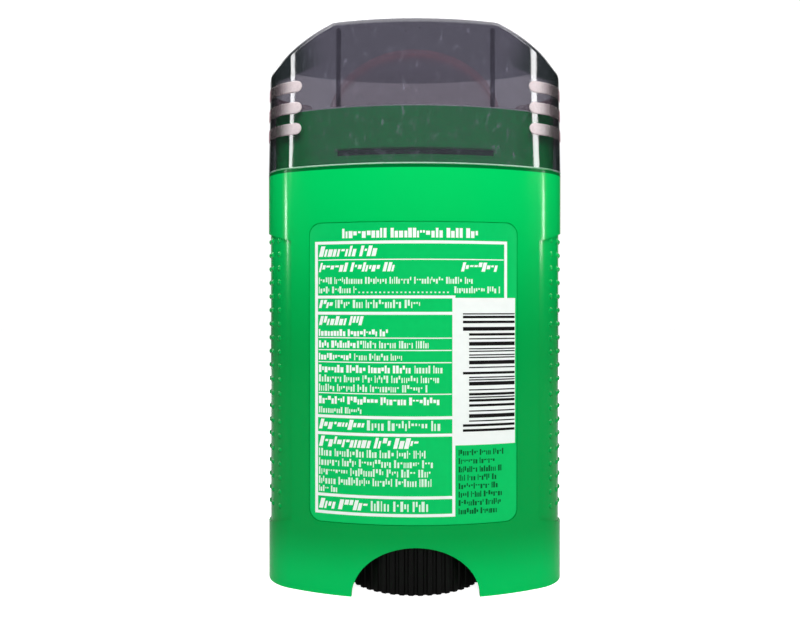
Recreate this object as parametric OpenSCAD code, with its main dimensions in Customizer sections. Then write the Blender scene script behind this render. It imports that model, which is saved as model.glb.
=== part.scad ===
// Oval twist-up stick pack: green barrel, smoke-tinted cap, base dial and screw feed.
// Origin at the middle of the base, +Z up. The back label faces -Y, the front label +Y.

/* [Oval section] */
// Width of the body, side to side
body_w = 66; // [63:0.5:69]
// Depth of the body, face to face
body_d = 33; // [31.5:0.5:35]
// Radius of the two broad faces
face_r = 58; // [54:1:64]

/* [Heights] */
// Height of the closed stick
total_h = 121.2; // [112:0.2:130]
// Height of the cap's top above the shoulder that the cap closes on
cap_h = 30.9; // [28:0.1:34]
// Height of the neck above the shoulder
neck_h = 12.7; // [11.5:0.2:13.5]
// Height of the underside of the chamber floor
floor_z = 12.2; // [11.8:0.1:13.4]
// Thickness of the chamber floor
floor_t = 1.6; // [1.2:0.1:2]

/* [Walls and gaps] */
// Wall of the cap
cap_wall = 1.2; // [1:0.1:1.5]
// Gap between the neck and the cap
neck_gap = 0.35; // [0.3:0.05:0.6]
// Wall of the neck
neck_wall = 1.05; // [0.9:0.05:1.3]
// Wall of the skirt round the dial
skirt_wall = 1.3; // [1:0.1:1.6]
// Gap between the moving stick and the chamber
slide_gap = 0.3; // [0.2:0.05:0.5]
// Radial running gap of the dial's journal
running_gap = 0.05; // [0.02:0.01:0.1]
// End float of the dial and the seat gap of the cap
seat_gap = 0.1; // [0.05:0.05:0.2]

/* [Base arch] */
// Width of the arch at the base
arch_w = 26.9; // [24:0.1:28.5]
// Distance of the arch's top below the chamber floor
arch_drop = 1.5; // [0.8:0.1:2]

/* [Side grips] */
// Reach of a grip from the side towards the middle
grip_reach = 6.3; // [5:0.1:8]
// Height of a grip's lower edge at its corners
grip_z0 = 14.1; // [10:0.1:15]
// Distance of a grip's upper edge below the shoulder, at its corners
grip_drop = 14.6; // [12:0.1:20]
// Rise of a grip's bowed ends towards the side
grip_bow = 1.5; // [0.8:0.1:2.4]
// Depth of a grip's recess
grip_depth = 0.45; // [0.3:0.05:0.6]
// Columns of dots on a grip
dot_columns = 6; // [2:2:6]
// Distance of the top row of dots below the grip's upper edge
dot_drop = 0.4; // [0.2:0.1:2]
// Least distance of the lowest row above the grip's lower edge
dot_foot = 0.8; // [0.4:0.1:4]
// Height step between the rows
dot_pitch = 3.06; // [2.4:0.01:3.1]
// Angle between the columns, round the side
dot_angle = 17.4; // [14:0.2:20]
// Radius of the ball that rounds a dot
dot_ball_r = 0.7; // [0.5:0.05:0.9]
// Rise of a dot above the recess
dot_rise = 0.35; // [0.2:0.05:0.45]

/* [Labels] */
// Plain band between a label panel and a grip
label_gap = 4.6; // [2:0.1:8]
// Sideways shift of a label panel, to the left as it is read
label_shift = 0.5; // [0:0.1:1]
// Height of a label panel's lower edge
label_z0 = 15.3; // [13:0.1:24]
// Distance of a label panel's upper edge below the shoulder
label_drop = 11.8; // [8:0.1:24]
// Corner radius of a label panel
label_corner_r = 2.5; // [1:0.1:5]
// Depth of a label panel
label_recess = 0.25; // [0.15:0.05:0.4]
// Thickness of a label
label_t = 0.15; // [0.1:0.05:0.2]
// Margin between a label and its panel's edge
label_margin = 0.15; // [0.1:0.05:0.4]

/* [Neck groove] */
// Width of the snap groove across the neck
groove_w = 34; // [29:0.5:38]
// Height of the snap groove's lower edge above the shoulder
groove_rise = 1.9; // [1.6:0.1:3]
// Height of the snap groove
groove_h = 1.9; // [1.6:0.1:2.2]
// Depth of the snap groove
groove_depth = 0.45; // [0.3:0.05:0.6]
// Width of the cap's snap ridge
ridge_w = 27; // [20:0.5:29]
// Height of the cap's snap ridge
ridge_h = 0.8; // [0.6:0.1:1]
// Rise of the cap's snap ridge inside its wall
ridge_rise = 0.2; // [0.1:0.05:0.25]

/* [Cap] */
// Width of the cap's flat top
cap_top_w = 35.7; // [30:0.1:42]
// Slope of the cap's shoulders below the horizontal
cap_slope = 33.5; // [28:0.5:38]
// Draft of the cap's sides, at the foot of its slopes
cap_draft = 0.4; // [0:0.05:0.5]
// Rounding where the slopes meet the sides
cap_side_r = 3; // [1.5:0.5:4]
// Rounding where the slopes meet the top
cap_top_r = 1.5; // [1:0.5:3]
// Distance between the two stop ribs inside the cap
rib_span = 32.4; // [26:0.2:36]
// Thickness of a stop rib
rib_t = 0.75; // [0.6:0.05:1]
// Depth of a stop rib
rib_depth = 1.1; // [0.8:0.1:1.4]
// Number of grip bars on each side of the cap
bar_count = 3; // [2:1:3]
// Height of a grip bar
bar_h = 2.45; // [2:0.05:3]
// Height step between the grip bars
bar_pitch = 4.52; // [4:0.02:5]
// Distance of the highest grip bar's middle below the foot of the slopes
bar_drop = 3.5; // [2.5:0.1:6]
// Distance of the bars' rounded ends from the middle plane
bar_x = 24.5; // [22:0.1:27]
// Rise of a grip bar above the cap's wall
bar_proud = 0.15; // [0.1:0.05:0.25]

/* [Dial] */
// Reach of the dial's rim past the inside of the skirt, where the arches are open
dial_reach = 0.1; // [0:0.05:0.2]
// Clearance of the dial above the surface that the stick stands on
dial_lift = 0.3; // [0.2:0.05:0.5]
// Distance of the dial's rim below the chamber floor
dial_drop = 2; // [1.6:0.1:3]
// Thickness of the dial's rim, web and ribs
dial_wall = 1.4; // [1.2:0.1:1.8]
// Number of grooves round the dial
dial_grooves = 48; // [36:1:60]
// Radius of a groove in the dial's rim
dial_groove_r = 0.5; // [0.3:0.05:0.6]
// Radius of the dial's hub
dial_hub_r = 8; // [7.2:0.1:9]
// Number of ribs inside the dial
dial_ribs = 6; // [3:1:8]
// Height of the ribs inside the dial
dial_rib_h = 7; // [4:0.5:9]
// Width of the plain flat ring under the dial
dial_foot_w = 2.8; // [2:0.1:4]
// Depth of the plain recess under the dial
dial_dish = 0.4; // [0.2:0.05:0.6]
// Radius of the floor's bore for the dial's journal
journal_bore_r = 6; // [5.6:0.1:6.6]
// Height of the snap lip above the floor
lip_h = 1; // [0.8:0.1:1.4]
// Overlap of the snap lip past the bore
lip_over = 0.35; // [0.2:0.05:0.5]
// Width of the square socket for the spindle
socket_w = 5; // [4.4:0.1:5.4]
// Depth of the socket
socket_depth = 9; // [7:0.5:10]

/* [Screw feed] */
// Lead of the thread, one start, left-hand
thread_lead = 5; // [4:0.5:6]
// Outer radius of the thread
thread_r = 3.7; // [3.4:0.1:4]
// Root radius of the thread
root_r = 2.6; // [2.4:0.1:2.8]
// Radius of the spindle's plain shank
shank_r = 2.9; // [2.6:0.1:3.2]
// Radius of the spindle's tip, where it starts to taper
tip_r = 2.4; // [2:0.1:2.4]
// Distance of the thread's foot below the platform, with the stick wound down
thread_drop = 18; // [15:0.5:24]
// Thickness of the spindle's collar and height of its tip
collar_t = 1; // [0.8:0.1:1.6]
// Gap between the thread and the elevator's nut
thread_gap = 0.3; // [0.25:0.05:0.4]

/* [Elevator and stick] */
// Height of the stick of product
product_h = 46; // [40:0.5:50]
// Thickness of the platform
platform_t = 1.6; // [1.2:0.1:2.2]
// Depth of the elevator's guiding skirt, platform included
guide_h = 10; // [8:0.5:12]
// Wall of the elevator's skirt and webs
guide_wall = 1.1; // [0.9:0.05:1.4]
// Outer radius of the elevator's nut
nut_r = 5.8; // [5.4:0.1:6.6]
// Height of a thread lug
lug_h = 1.1; // [0.9:0.1:1.3]
// Angle that a thread lug spans
lug_angle = 50; // [40:5:60]
// Depth of a lug's root in the nut's wall
lug_root = 0.3; // [0.2:0.1:0.6]
// Depth of the product's top below the neck's rim
product_drop = 1; // [0.8:0.1:1.6]
// Radial gap between the product and the screw
product_bore_gap = 0.5; // [0.4:0.1:1]
// Product left above the screw's tip
product_crown = 7.5; // [6:0.5:8]

/* [Seal] */
// Width of the seal's dome
dome_w = 38.9; // [34:0.1:42]
// Ledge of the seal's flange in front of the dome and behind it
dome_ledge = 3.1; // [2:0.1:5]
// Room between the dome and the inside of the cap's top
dome_gap = 1.2; // [0.6:0.1:4]
// Wall of the seal
seal_wall = 0.8; // [0.6:0.05:1]

/* [Hidden] */
$fn = 96;

green = [0.01, 0.62, 0.29];
label_green = [0.02, 0.76, 0.41];
natural = [0.93, 0.93, 0.9];

half_w = body_w / 2;
half_d = body_d / 2;
blend = 0.02;                                   // an end arc's radius past the one that only touches
face_c = face_r - half_d;                       // distance of a face's arc centre from the middle
end_r = (pow(face_r, 2) - pow(face_c, 2) - pow(half_w, 2)) / (2 * (face_r - half_w)) + blend;
end_c = half_w - end_r;                         // distance of an end's arc centre from the middle

shoulder_z = total_h - cap_h;
rim_z = shoulder_z + neck_h;
floor_top = floor_z + floor_t;
neck_in = cap_wall + neck_gap;
chamber_in = neck_in + neck_wall;
stick_in = chamber_in + slide_gap;
cap_z0 = shoulder_z + seat_gap;

grip_x = half_w - grip_reach;
grip_z1 = shoulder_z - grip_drop;
dot_top = grip_z1 - dot_drop;
dot_rows = 1 + floor((dot_top - grip_z0 - dot_foot) / dot_pitch);
label_w = 2 * (grip_x - label_gap);
label_z1 = shoulder_z - label_drop;
slope_foot = total_h - (half_w - cap_draft - cap_top_w / 2) * tan(cap_slope);

dial_r = half_d - skirt_wall + dial_reach;
dial_h = floor_z - dial_lift - dial_drop;
product_top = rim_z - product_drop;
platform_z = product_top - product_h;
thread_z0 = platform_z - thread_drop;
spindle_top = product_top - product_crown;
journal_r = journal_bore_r - running_gap;
journal_top = floor_top + seat_gap + lip_h;
nut_bore_r = thread_r + thread_gap;

over = 1;                                       // how far a cut runs past the face it opens
thread_steps = 18;                              // points round the thread's section
thread_foot = 75;                               // half the angle of the ridge at its foot
thread_flank = 40;                              // angle of each flank
slices_per_turn = 12;

// Four-arc oval: two wide face arcs, cut off inside the round ends where the arcs meet

module oval(inset) {
    meet_x = end_c + (end_r - inset) * end_c / norm([end_c, face_c]);
    for (side = [-1, 1]) translate([side * end_c, 0]) circle(end_r - inset);
    intersection() {
        translate([0, face_c]) circle(face_r - inset);
        translate([0, -face_c]) circle(face_r - inset);
        square([2 * meet_x, body_d], center = true);
    }
}

module oval_block(z0, z1, inset) {
    translate([0, 0, z0]) linear_extrude(z1 - z0) oval(inset);
}

module oval_ring(z0, z1, inset_out, inset_in) {
    translate([0, 0, z0]) linear_extrude(z1 - z0) difference() {
        oval(inset_out);
        oval(inset_in);
    }
}

// Upright outline in X and Z, drawn through the whole depth

module through_y() {
    rotate([90, 0, 0]) linear_extrude(2 * body_d, center = true) children();
}

// Upright slab of a given width about the middle plane, through the whole depth and height

module middle_slab(w) {
    translate([-w / 2, -body_d, 0]) cube([w, 2 * body_d, total_h]);
}

// Convex outline with a rounding of its own at each corner: points are [x, y, radius]

function xy(p) = [p[0], p[1]];
function unit(v) = v / norm(v);
function corner_tangents(p, before, after) =
    let (u = unit(xy(before) - xy(p)), v = unit(xy(after) - xy(p)), half = acos(u * v) / 2)
    [xy(p) + u * p[2] / tan(half), xy(p) + v * p[2] / tan(half)];
function corner_centre(p, before, after) =
    let (u = unit(xy(before) - xy(p)), v = unit(xy(after) - xy(p)), half = acos(u * v) / 2)
    xy(p) + unit(u + v) * p[2] / sin(half);

module rounded_outline(points) {
    n = len(points);
    polygon([for (i = [0 : n - 1]) each corner_tangents(
        points[i], points[(i + n - 1) % n], points[(i + 1) % n])]);
    for (i = [0 : n - 1]) if (points[i][2] > 0)
        translate(corner_centre(points[i], points[(i + n - 1) % n], points[(i + 1) % n]))
            circle(points[i][2]);
}

module rounded_rect(w, z0, z1, r) {
    rounded_outline([[-w / 2, z0, r], [w / 2, z0, r], [w / 2, z1, r], [-w / 2, z1, r]]);
}

// Barrel

// Half an ellipse, drawn whole because its lower half falls below the base
module arch_outline() {
    scale([arch_w / 2, floor_z - arch_drop]) circle(1);
}

// Side view of a grip: upright sides, and ends that bow outwards in an arc
module grip_side_outline() {
    chord = half_d / 2;
    bow_r = (pow(chord, 2) + pow(grip_bow, 2)) / (2 * grip_bow);
    top_c = grip_z1 + grip_bow - bow_r;
    low_c = grip_z0 - grip_bow + bow_r;
    translate([0, top_c]) circle(bow_r);
    translate([0, low_c]) circle(bow_r);
    translate([-bow_r, min(top_c, low_c)]) square([2 * bow_r, abs(top_c - low_c)]);
}

module grip_dots(side) {
    floor_r = end_r - grip_depth;
    for (row = [0 : dot_rows - 1], column = [0 : dot_columns - 1])
        translate([side * end_c, 0, dot_top - row * dot_pitch])
            rotate([0, 0, (side > 0 ? 0 : 180) + (column - (dot_columns - 1) / 2) * dot_angle])
                translate([floor_r + dot_rise - dot_ball_r, 0, 0]) sphere(dot_ball_r);
}

module grip_recess(side) {
    difference() {
        intersection() {
            oval_ring(grip_z0 - 2 * grip_bow, grip_z1 + 2 * grip_bow, -over, grip_depth);
            rotate([90, 0, 90]) translate([0, 0, side > 0 ? grip_x : -grip_x - half_w])
                linear_extrude(half_w) grip_side_outline();
        }
        grip_dots(side);
    }
}

module label_panel(side, inset_out, inset_in, margin) {
    intersection() {
        oval_ring(label_z0 - over, label_z1 + over, inset_out, inset_in);
        translate([side * label_shift, 0, 0]) through_y()
            rounded_rect(label_w - 2 * margin, label_z0 + margin, label_z1 - margin, label_corner_r);
        translate([-half_w, side > 0 ? 0 : -body_d, 0]) cube([body_w, body_d, total_h]);
    }
}

module neck_groove() {
    low = shoulder_z + groove_rise;
    intersection() {
        oval_ring(low, low + groove_h, 0, neck_in + groove_depth);
        middle_slab(groove_w);
    }
}

module barrel() color(green) difference() {
    union() {
        oval_block(0, shoulder_z, 0);
        oval_block(shoulder_z, rim_z, neck_in);
    }
    oval_block(floor_top, rim_z + over, chamber_in);
    oval_block(-over, floor_z, skirt_wall);
    translate([0, 0, floor_z - over]) cylinder(r = journal_bore_r, h = floor_t + 2 * over);
    through_y() arch_outline();
    for (side = [-1, 1]) {
        grip_recess(side);
        label_panel(side, -over, label_recess, 0);
    }
    neck_groove();
}

// Labels, each lying in its panel with its face just below the barrel's

module label(side) color(label_green) {
    label_panel(side, label_recess - label_t, label_recess, label_margin);
}

module label_back() label(-1);

module label_front() label(1);

// Dial: a grooved cup on a hub, with a journal that snaps through the chamber floor

module dial_cup() {
    difference() {
        cylinder(r = dial_r, h = dial_h);
        translate([0, 0, dial_wall]) cylinder(r = dial_r - dial_wall, h = dial_h);
        for (i = [0 : dial_grooves - 1]) rotate([0, 0, i * 360 / dial_grooves])
            translate([dial_r, 0, -over]) cylinder(r = dial_groove_r, h = dial_h + 2 * over);
    }
}

module dial_spokes() {
    reach = dial_r - dial_groove_r - dial_wall / 2;
    for (i = [0 : dial_ribs - 1]) rotate([0, 0, i * 360 / dial_ribs])
        translate([0, -dial_wall / 2, 0]) cube([reach, dial_wall, dial_rib_h]);
}

module dial() color([0.02, 0.02, 0.02]) difference() {
    union() {
        translate([0, 0, dial_lift]) {
            dial_cup();
            dial_spokes();
            cylinder(r = dial_hub_r, h = floor_z - seat_gap - dial_lift);
            cylinder(r = journal_r, h = journal_top - dial_lift);
        }
        translate([0, 0, floor_top + seat_gap])
            cylinder(r1 = journal_bore_r + lip_over, r2 = journal_r - lip_over, h = lip_h);
    }
    translate([0, 0, dial_lift - over]) cylinder(r = dial_r - dial_foot_w, h = over + dial_dish);
    translate([-socket_w / 2, -socket_w / 2, journal_top - socket_depth])
        cube([socket_w, socket_w, socket_depth + over]);
}

// Spindle: a square tail in the dial's socket, a collar on the journal, then shank and thread

// Section of the one-start thread: 1 along the ridge's crest, 0 at the root
module thread_section() {
    function ridge(a) = let (off = min(a, 360 - a)) max(0, min(1, (thread_foot - off) / thread_flank));
    polygon([for (i = [0 : thread_steps - 1])
        let (a = i * 360 / thread_steps, r = root_r + (thread_r - root_r) * ridge(a))
        [r * cos(a), r * sin(a)]]);
}

module spindle() color(natural) {
    thread_h = spindle_top - thread_z0 - collar_t;
    turns = thread_h / thread_lead;
    tail_w = socket_w - 2 * running_gap;
    translate([-tail_w / 2, -tail_w / 2, journal_top - socket_depth + seat_gap])
        cube([tail_w, tail_w, socket_depth + collar_t / 2]);
    translate([0, 0, journal_top]) cylinder(r = journal_r - lip_over, h = collar_t);
    translate([0, 0, journal_top]) cylinder(r = shank_r, h = thread_z0 - journal_top);
    translate([0, 0, thread_z0])
        linear_extrude(thread_h, twist = 360 * turns, slices = ceil(slices_per_turn * turns),
            segments = thread_steps) thread_section();
    translate([0, 0, thread_z0 + thread_h]) cylinder(r1 = tip_r, r2 = tip_r / 2, h = collar_t);
}

// Elevator: a skirted platform and a nut whose two lugs run in the thread, half a turn apart

module thread_lug(angle, z) {
    lug_in = root_r + thread_gap;
    translate([0, 0, z - lug_h / 2])
        rotate_extrude(angle = lug_angle, start = angle - lug_angle / 2)
            translate([lug_in, 0]) square([nut_bore_r + lug_root - lug_in, lug_h]);
}

module elevator_webs(z0) {
    intersection() {
        union() {
            translate([-half_w, -guide_wall / 2, z0]) cube([body_w, guide_wall, guide_h]);
            translate([-guide_wall / 2, -half_d, z0]) cube([guide_wall, body_d, guide_h]);
        }
        oval_block(z0, platform_z, stick_in + guide_wall / 2);
    }
}

module elevator() color(natural) {
    lug_z = thread_z0 + thread_lead;
    nut_z0 = lug_z - lug_h;
    guide_z0 = platform_z - guide_h;
    difference() {
        union() {
            oval_block(platform_z - platform_t, platform_z, stick_in);
            oval_ring(guide_z0, platform_z, stick_in, stick_in + guide_wall);
            translate([0, 0, nut_z0]) cylinder(r = nut_r, h = platform_z - nut_z0);
            elevator_webs(guide_z0);
        }
        translate([0, 0, nut_z0 - over]) cylinder(r = nut_bore_r, h = platform_z - nut_z0 + 2 * over);
    }
    thread_lug(180, lug_z);
    thread_lug(0, lug_z + thread_lead / 2);
}

// Product: the stick itself, cast round the room that the screw needs

module product() color([0.94, 0.95, 0.92]) difference() {
    oval_block(platform_z, product_top, stick_in);
    translate([0, 0, platform_z - over])
        cylinder(r = thread_r + product_bore_gap, h = spindle_top - platform_z + over + product_bore_gap);
}

// Seal: a thin flange that lies on the product, with a hollow dome above it

module dome(shrink) {
    dome_d = 2 * (half_d - stick_in - dome_ledge);
    dome_h = total_h - cap_wall - dome_gap - product_top - seal_wall;
    intersection() {
        scale([dome_w / 2 - shrink, dome_d / 2 - shrink, dome_h - shrink]) sphere(1, $fn = 48);
        translate([-half_w, -half_d, -seal_wall]) cube([body_w, body_d, 2 * dome_h]);
    }
}

module seal() color([0.75, 0.35, 0.4, 0.5]) translate([0, 0, product_top]) difference() {
    union() {
        oval_block(0, seal_wall, stick_in);
        translate([0, 0, seal_wall]) dome(0);
    }
    translate([0, 0, seal_wall]) dome(seal_wall);
    translate([0, 0, -over]) linear_extrude(over) oval(stick_in);
}

// Cap

// Outline of the cap's top: two slopes that fall from a flat to the sides
function cap_outline(wall, side_half, r_side, r_top) =
    let (
        top = total_h - wall,
        top_half = cap_top_w / 2 - wall * tan(cap_slope / 2),
        foot = top - (side_half - top_half) * tan(cap_slope)
    )
    [
        [-side_half, foot, r_side], [-top_half, top, r_top],
        [top_half, top, r_top], [side_half, foot, r_side]
    ];

module cap_profile(wall, low_half, side_half, z0) {
    rounded_outline(concat(
        [[low_half, z0, 0], [-low_half, z0, 0]],
        cap_outline(wall, side_half, cap_side_r - wall, max(cap_top_r - wall, wall / 4))));
}

module cap_shell() {
    inner_half = half_w - cap_wall;
    difference() {
        intersection() {
            oval_block(cap_z0, total_h, 0);
            through_y() cap_profile(0, half_w, half_w - cap_draft, cap_z0);
        }
        intersection() {
            oval_block(cap_z0 - over, total_h - cap_wall, cap_wall);
            through_y() cap_profile(cap_wall, inner_half, inner_half - cap_draft / 2, cap_z0 - over);
        }
    }
}

// Two upright ribs inside the back wall, which stop the cap on the neck's rim
module stop_ribs() {
    intersection() {
        oval_ring(rim_z + seat_gap, total_h - cap_wall / 2, cap_wall / 2, cap_wall + rib_depth);
        for (side = [-1, 1]) translate([side * rib_span / 2 - rib_t / 2, -body_d, 0])
            cube([rib_t, body_d, total_h]);
    }
}

module snap_ridge() {
    low = shoulder_z + groove_rise + (groove_h - ridge_h) / 2;
    intersection() {
        oval_ring(low, low + ridge_h, cap_wall / 2, cap_wall + ridge_rise);
        middle_slab(ridge_w);
    }
}

// Bars that wrap the cap's sides, with a rounded end on the back and on the front
module grip_bars() {
    end_x = bar_x + bar_h / 2;
    for (i = [0 : bar_count - 1], side = [-1, 1]) {
        mid = slope_foot - bar_drop - i * bar_pitch;
        intersection() {
            oval_ring(mid - bar_h, mid + bar_h, -bar_proud, cap_wall / 2);
            through_y() {
                translate([side * end_x, mid]) circle(bar_h / 2);
                translate([side > 0 ? end_x : -end_x - half_w, mid - bar_h / 2]) square([half_w, bar_h]);
            }
        }
    }
}

module cap() color([0.3, 0.29, 0.34, 0.5]) {
    cap_shell();
    stop_ribs();
    snap_ridge();
    grip_bars();
}

barrel();
dial();
spindle();
elevator();
product();
seal();
cap();
label_back();
label_front();
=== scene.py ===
"""Looks of an oval twist-up stick pack: finishes, printed labels, studio light and camera."""

from __future__ import annotations

import logging
import math
import random
from dataclasses import dataclass, field
from enum import Enum
from typing import Any, Callable, Sequence, Union

import bmesh
import bpy
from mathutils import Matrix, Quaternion, Vector

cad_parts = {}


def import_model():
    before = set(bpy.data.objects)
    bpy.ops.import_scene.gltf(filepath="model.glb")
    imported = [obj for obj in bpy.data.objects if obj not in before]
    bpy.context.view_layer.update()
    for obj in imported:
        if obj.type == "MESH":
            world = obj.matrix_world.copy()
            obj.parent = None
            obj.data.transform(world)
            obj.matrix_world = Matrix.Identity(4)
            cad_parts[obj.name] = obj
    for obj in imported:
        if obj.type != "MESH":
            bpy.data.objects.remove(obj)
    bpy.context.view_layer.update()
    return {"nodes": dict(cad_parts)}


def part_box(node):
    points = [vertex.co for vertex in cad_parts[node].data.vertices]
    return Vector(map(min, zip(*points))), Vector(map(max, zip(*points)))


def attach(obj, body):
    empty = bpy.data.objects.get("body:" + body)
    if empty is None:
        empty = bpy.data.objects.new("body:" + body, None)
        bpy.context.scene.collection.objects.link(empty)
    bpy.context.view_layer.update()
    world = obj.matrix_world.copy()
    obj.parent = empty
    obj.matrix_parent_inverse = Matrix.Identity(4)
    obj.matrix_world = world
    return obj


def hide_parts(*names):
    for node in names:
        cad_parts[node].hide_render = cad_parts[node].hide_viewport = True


LOG = logging.getLogger("stick_pack")
MM = 0.001
WELD = 0.000002
MIX_FACTOR, MIX_FIRST, MIX_SECOND, MIX_RESULT = 0, 6, 7, 2

Colour = Triple = tuple[float, float, float]
Span = tuple[float, float]
Edges = tuple[float, float, float, float]
Sockets = dict[Union[str, int], Any]
Number = Union["Value", float, int]


def srgb(red: int, green: int, blue: int) -> Colour:
    """Turn a screen colour into the linear one that a shader takes.

    Args:
        red: Red, 0 to 255.
        green: Green, 0 to 255.
        blue: Blue, 0 to 255.

    Returns:
        The linear colour.
    """
    def channel(c: int) -> float:
        """Linear value of one channel."""
        s = c / 255
        return s / 12.92 if s <= 0.04045 else ((s + 0.055) / 1.055) ** 2.4

    return channel(red), channel(green), channel(blue)


def placed(name: str, data: bpy.types.ID) -> bpy.types.Object:
    """Make an object from its data and put it in the scene."""
    made = bpy.data.objects.new(name, data)
    bpy.context.scene.collection.objects.link(made)
    return made


class Value:
    """A shader socket that carries one number and adds Math nodes when it is used in an expression."""

    def __init__(self, shader: "Shader", socket: bpy.types.NodeSocket) -> None:
        """Wrap a socket of a shader."""
        self.shader = shader
        self.socket = socket

    def _math(self, operation: str, *others: Number, swap: bool = False) -> "Value":
        """Add a Math node.

        Args:
            operation: The node's operation.
            others: The other operands.
            swap: Puts this socket second.

        Returns:
            The node's result.
        """
        operands: list[Number] = [self, *others]
        if swap:
            operands.reverse()
        return self.shader.node("ShaderNodeMath", {"operation": operation}, dict(enumerate(operands)))

    def __add__(self, other: Number) -> "Value":
        """Sum."""
        return self._math("ADD", other)

    __radd__ = __add__

    def __sub__(self, other: Number) -> "Value":
        """Difference."""
        return self._math("SUBTRACT", other)

    def __rsub__(self, other: Number) -> "Value":
        """Difference, reflected."""
        return self._math("SUBTRACT", other, swap=True)

    def __mul__(self, other: Number) -> "Value":
        """Product."""
        return self._math("MULTIPLY", other)

    __rmul__ = __mul__

    def __abs__(self) -> "Value":
        """Size without sign."""
        return self._math("ABSOLUTE")

    def at_least(self, other: Number) -> "Value":
        """The larger of two values."""
        return self._math("MAXIMUM", other)

    def ramp(self, low: float, high: float, start: float = 0.0, end: float = 1.0) -> "Value":
        """Smooth step.

        Args:
            low: Where the step starts.
            high: Where it ends.
            start: Result at and before the start.
            end: Result at and after the end.

        Returns:
            The stepped value.
        """
        return self.shader.node(
            "ShaderNodeMapRange",
            {"interpolation_type": "SMOOTHSTEP"},
            {"Value": self, "From Min": low, "From Max": high, "To Min": start, "To Max": end},
        )


class Shader:
    """A material or world under construction."""

    def __init__(self, name: str, world: bool = False) -> None:
        """Make an empty node material or world.

        Args:
            name: Its name.
            world: Makes a world in place of a material.
        """
        self.owner = (bpy.data.worlds if world else bpy.data.materials).new(name)
        self.owner.use_nodes = True
        self.output_kind = "ShaderNodeOutputWorld" if world else "ShaderNodeOutputMaterial"
        self.tree = self.owner.node_tree
        self.tree.nodes.clear()

    def add(self, kind: str, settings: dict[str, Any] | None = None, inputs: Sockets | None = None) -> bpy.types.Node:
        """Add a node, settings first.

        Args:
            kind: The node's type.
            settings: Its properties, such as a Math node's operation.
            inputs: Values or links of its sockets, by name or place.

        Returns:
            The node.
        """
        made = self.tree.nodes.new(kind)
        for key, value in (settings or {}).items():
            setattr(made, key, value)
        for key, value in (inputs or {}).items():
            socket = made.inputs[key]
            if isinstance(value, Value):
                self.tree.links.new(value.socket, socket)
            elif socket.type == "RGBA":
                socket.default_value = (*value, 1.0)
            else:
                socket.default_value = value
        return made

    def node(self, kind: str, settings: dict[str, Any] | None = None, inputs: Sockets | None = None,
             out: Union[str, int] = 0) -> Value:
        """Add a node and wrap one of its outputs, by name or place."""
        return Value(self, self.add(kind, settings, inputs).outputs[out])

    def place(self) -> Value:
        """The point on the piece, in metres, which stays with the piece when it moves."""
        return self.node("ShaderNodeTexCoord", out="Object")

    def axis(self, name: str) -> Value:
        """One coordinate of the point on the piece, in millimetres."""
        return self.node("ShaderNodeSeparateXYZ", None, {0: self.place()}, name) * (1 / MM)

    def noise(self, scale: float, detail: float = 2.0, stretch: Triple = (1, 1, 1)) -> Value:
        """Fractal noise over the piece.

        Args:
            scale: Cells per metre.
            detail: Octaves.
            stretch: Factor on each axis.

        Returns:
            The noise, from 0 to 1.
        """
        point = self.node("ShaderNodeMapping", None, {"Vector": self.place(), "Scale": stretch})
        return self.node("ShaderNodeTexNoise", None, {"Vector": point, "Scale": scale, "Detail": detail})

    def blend(self, factor: Number, low: Any, high: Any) -> Value:
        """Mix two colours."""
        colours = {MIX_FACTOR: factor, MIX_FIRST: low, MIX_SECOND: high}
        return self.node("ShaderNodeMix", {"data_type": "RGBA"}, colours, MIX_RESULT)

    def bump(self, height: Value, distance: float, strength: float = 1.0) -> Value:
        """Turn a height into a normal.

        Args:
            height: The height, from 0 to 1.
            distance: What a height of 1 measures, in metres.
            strength: Share of the effect.

        Returns:
            The normal.
        """
        return self.node("ShaderNodeBump", None, {"Height": height, "Distance": distance, "Strength": strength})

    def principled(self, **sockets: Any) -> Value:
        """Add a Principled shader, with sockets named in lower case with underscores."""
        inputs = {name.replace("_", " ").title().replace("Ior", "IOR"): value for name, value in sockets.items()}
        return self.node("ShaderNodeBsdfPrincipled", None, inputs)

    def mix(self, factor: Number, first: Value, second: Value) -> Value:
        """Mix two shaders."""
        return self.node("ShaderNodeMixShader", None, {0: factor, 1: first, 2: second})

    def through(self, tint: Colour) -> Value:
        """Let light straight through, tinted."""
        return self.node("ShaderNodeBsdfTransparent", None, {"Color": tint})

    def finish(self, surface: Value) -> Any:
        """Link the surface to the output node, and return the material or world."""
        self.add(self.output_kind, None, {"Surface": surface})
        return self.owner


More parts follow.
